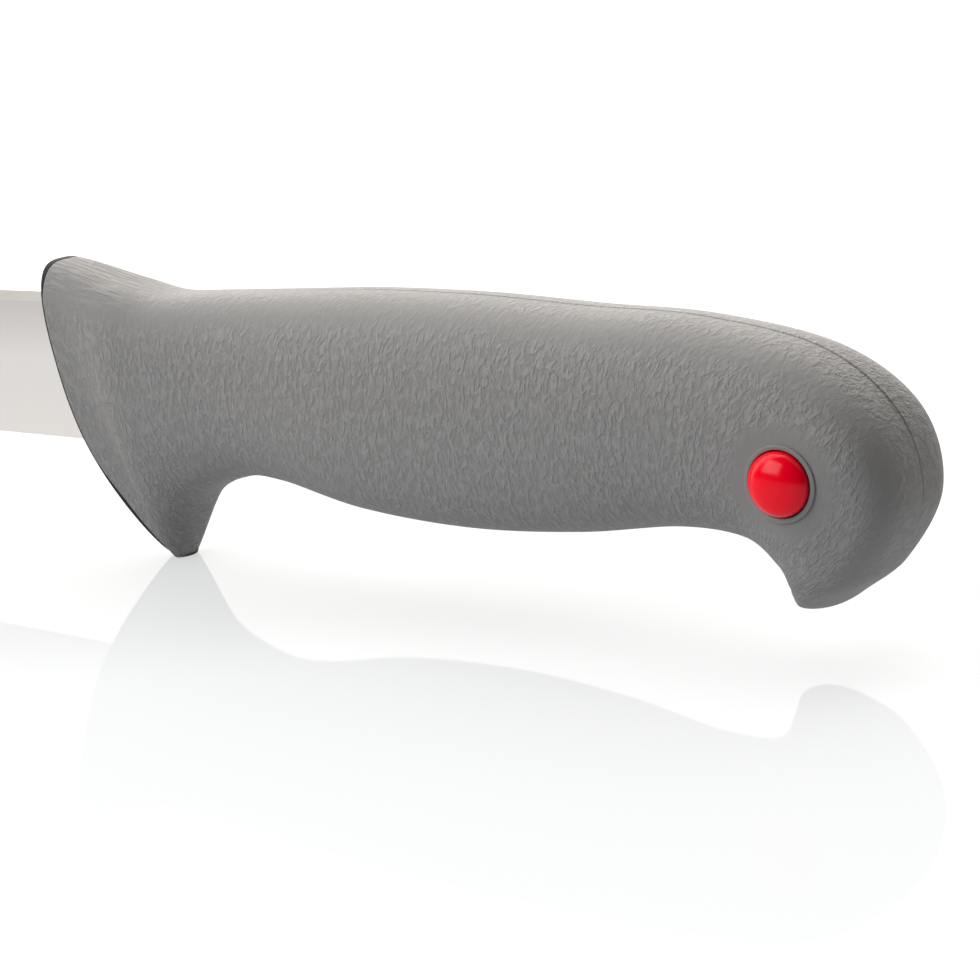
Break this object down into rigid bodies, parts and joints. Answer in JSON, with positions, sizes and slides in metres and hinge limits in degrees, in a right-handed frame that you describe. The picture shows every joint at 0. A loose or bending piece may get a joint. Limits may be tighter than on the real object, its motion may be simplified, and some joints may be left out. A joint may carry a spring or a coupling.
{
  "type": "fillet knife",
  "caption": "Fillet knife with a slim steel blade, a grained grey moulded grip with guard and hook, and a red colour-coding plug in each flank.",
  "frame": {"origin": "in the plane of the blade, in the middle of the grip's belly, where the hand closes", "axes": "+X from the point of the blade to the butt, +Y across the blade away from the flank that faces the camera in the picture, +Z from the edge to the spine"},
  "size_m": [0.3142, 0.0278, 0.0435],
  "materials": {
    "steel": "satin",
    "core_plastic": "matte",
    "grip_plastic": "grained",
    "plug_plastic": "gloss"
  },
  "bodies": {
    "knife": {"blade": "steel", "handle_core": "core_plastic", "handle_grip": "grip_plastic"},
    "near_plug": {"colour_plug_near": "plug_plastic"},
    "far_plug": {"colour_plug_far": "plug_plastic"}
  },
  "joints": [
    {"name": "near_plug_pull", "type": "slide", "parent": "knife", "child": "near_plug", "axis": [0, -1, 0], "range_m": [0, 0.012]},
    {"name": "far_plug_pull", "type": "slide", "parent": "knife", "child": "far_plug", "axis": [0, 1, 0], "range_m": [0, 0.012]}
  ]
}
